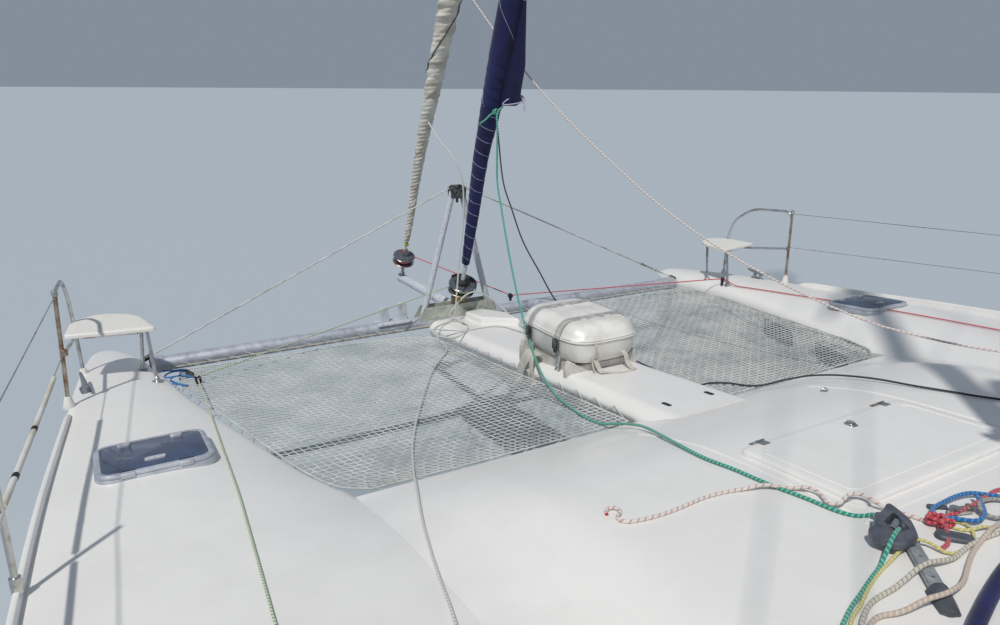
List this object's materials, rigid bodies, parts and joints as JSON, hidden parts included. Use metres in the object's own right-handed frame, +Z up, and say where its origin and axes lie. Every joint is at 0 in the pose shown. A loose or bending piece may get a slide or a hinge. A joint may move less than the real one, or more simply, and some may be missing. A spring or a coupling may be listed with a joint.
{
  "type": "sailing catamaran",
  "caption": "Cruising sailing catamaran with netted foredeck, furled headsails, life raft canister, swinging boom, steering, opening hatches and turning propellers.",
  "frame": {"origin": "on the centreline amidships, at the waterline", "axes": "+X to the bows, +Y to port, +Z up"},
  "size_m": [13.89, 7.1, 18.6],
  "materials": {
    "gelcoat": "gloss, weathered",
    "antifouling": "matt",
    "anodised": "satin anodised",
    "stainless": "polished",
    "acrylic": "tinted",
    "navy_cloth": "woven",
    "sailcloth": "woven",
    "net": "braided",
    "black_plastic": "satin",
    "bronze": "cast",
    "engine_paint": "gloss",
    "wood": "varnished"
  },
  "bodies": {
    "boat": {"hull_port": "gelcoat", "hull_starboard": "gelcoat", "keel_port": "antifouling", "keel_starboard": "antifouling", "saildrive_port": "black_plastic", "saildrive_starboard": "black_plastic", "engine_port": "engine_paint", "engine_starboard": "engine_paint", "striker_stay_port": "stainless", "striker_stay_starboard": "stainless", "trampoline_port": "net", "trampoline_starboard": "net", "diamond_port": "stainless", "diamond_starboard": "stainless", "cap_shroud_port": "stainless", "cap_shroud_starboard": "stainless", "lower_shroud_port": "stainless", "lower_shroud_starboard": "stainless", "pulpit_port": "stainless", "pulpit_starboard": "stainless", "pulpit_seat_port": "gelcoat", "pulpit_seat_starboard": "gelcoat", "rail_port": "stainless", "rail_starboard": "stainless", "genoa_track_port": "anodised", "genoa_track_starboard": "anodised", "nacelle": "gelcoat", "foredeck": "gelcoat", "coachroof": "gelcoat", "saloon_windows": "acrylic", "saloon_settee": "navy_cloth", "galley": "wood", "cockpit_bench": "gelcoat", "helm_console": "gelcoat", "helm_seat": "gelcoat", "hardtop": "gelcoat", "crossbeam": "anodised", "longeron": "gelcoat", "raft_canister": "gelcoat", "bowsprit": "anodised", "genoa_furler": "black_plastic", "genoa": "navy_cloth", "gennaker_furler": "black_plastic", "gennaker": "sailcloth", "mast": "anodised"},
    "boom": {"boom": "anodised", "mainsail": "sailcloth"},
    "saloon_door": {"saloon_door": "acrylic"},
    "locker_lid": {"locker_lid": "gelcoat"},
    "helm_wheel": {"helm_wheel": "stainless"},
    "rudder_port": {"rudder_port": "antifouling"},
    "rudder_starboard": {"rudder_starboard": "antifouling"},
    "propeller_port": {"propeller_port": "bronze"},
    "propeller_starboard": {"propeller_starboard": "bronze"},
    "engine_hatch_port": {"engine_hatch_port": "gelcoat"},
    "engine_hatch_starboard": {"engine_hatch_starboard": "gelcoat"},
    "deck_hatch_port": {"deck_hatch_port": "acrylic"},
    "deck_hatch_starboard": {"deck_hatch_starboard": "acrylic"}
  },
  "joints": [
    {"name": "boom_swing", "type": "hinge", "parent": "boat", "child": "boom", "pos_m": [0.775, 0, 3.9], "axis": [0, 0, 1], "range_deg": [-60, 60]},
    {"name": "saloon_door_slide", "type": "slide", "parent": "boat", "child": "saloon_door", "axis": [0, 1, 0], "range_m": [0, 0.85]},
    {"name": "locker_lid_lift", "type": "hinge", "parent": "boat", "child": "locker_lid", "pos_m": [2.04, 0, 1.8635], "axis": [0, 1, 0], "range_deg": [0, 95]},
    {"name": "rudder_port_turn", "type": "hinge", "parent": "boat", "child": "rudder_port", "pos_m": [-5.15, 2.82, -0.5], "axis": [0, 0, 1], "range_deg": [-35, 35]},
    {"name": "rudder_starboard_turn", "type": "hinge", "parent": "boat", "child": "rudder_starboard", "pos_m": [-5.15, -2.82, -0.5], "axis": [0, 0, 1], "range_deg": [-35, 35]},
    {"name": "helm_wheel_turn", "type": "hinge", "parent": "boat", "child": "helm_wheel", "pos_m": [-3.01, -1.5, 2.06], "axis": [1, 0, 0], "range_deg": [-450.5, 450.5]},
    {"name": "propeller_port_turn", "type": "hinge", "parent": "boat", "child": "propeller_port", "pos_m": [-4.64, 2.82, -0.82], "axis": [1, 0, 0], "continuous": true},
    {"name": "propeller_starboard_turn", "type": "hinge", "parent": "boat", "child": "propeller_starboard", "pos_m": [-4.64, -2.82, -0.82], "axis": [1, 0, 0], "continuous": true},
    {"name": "engine_hatch_port_lift", "type": "hinge", "parent": "boat", "child": "engine_hatch_port", "pos_m": [-3.912, 2.815, 1.9053], "axis": [0, 1, 0], "range_deg": [0, 90]},
    {"name": "engine_hatch_starboard_lift", "type": "hinge", "parent": "boat", "child": "engine_hatch_starboard", "pos_m": [-3.912, -2.815, 1.9053], "axis": [0, 1, 0], "range_deg": [0, 90]},
    {"name": "deck_hatch_port_lift", "type": "hinge", "parent": "boat", "child": "deck_hatch_port", "pos_m": [3.5292, 2.85, 1.6933], "axis": [0, -1, 0], "range_deg": [0, 100]},
    {"name": "deck_hatch_starboard_lift", "type": "hinge", "parent": "boat", "child": "deck_hatch_starboard", "pos_m": [3.5292, -2.85, 1.6933], "axis": [0, -1, 0], "range_deg": [0, 100]}
  ],
  "couplings": [
    {"joint": "rudder_starboard_turn", "follows": "rudder_port_turn", "ratio": 1},
    {"joint": "helm_wheel_turn", "follows": "rudder_port_turn", "ratio": 12.857}
  ]
}
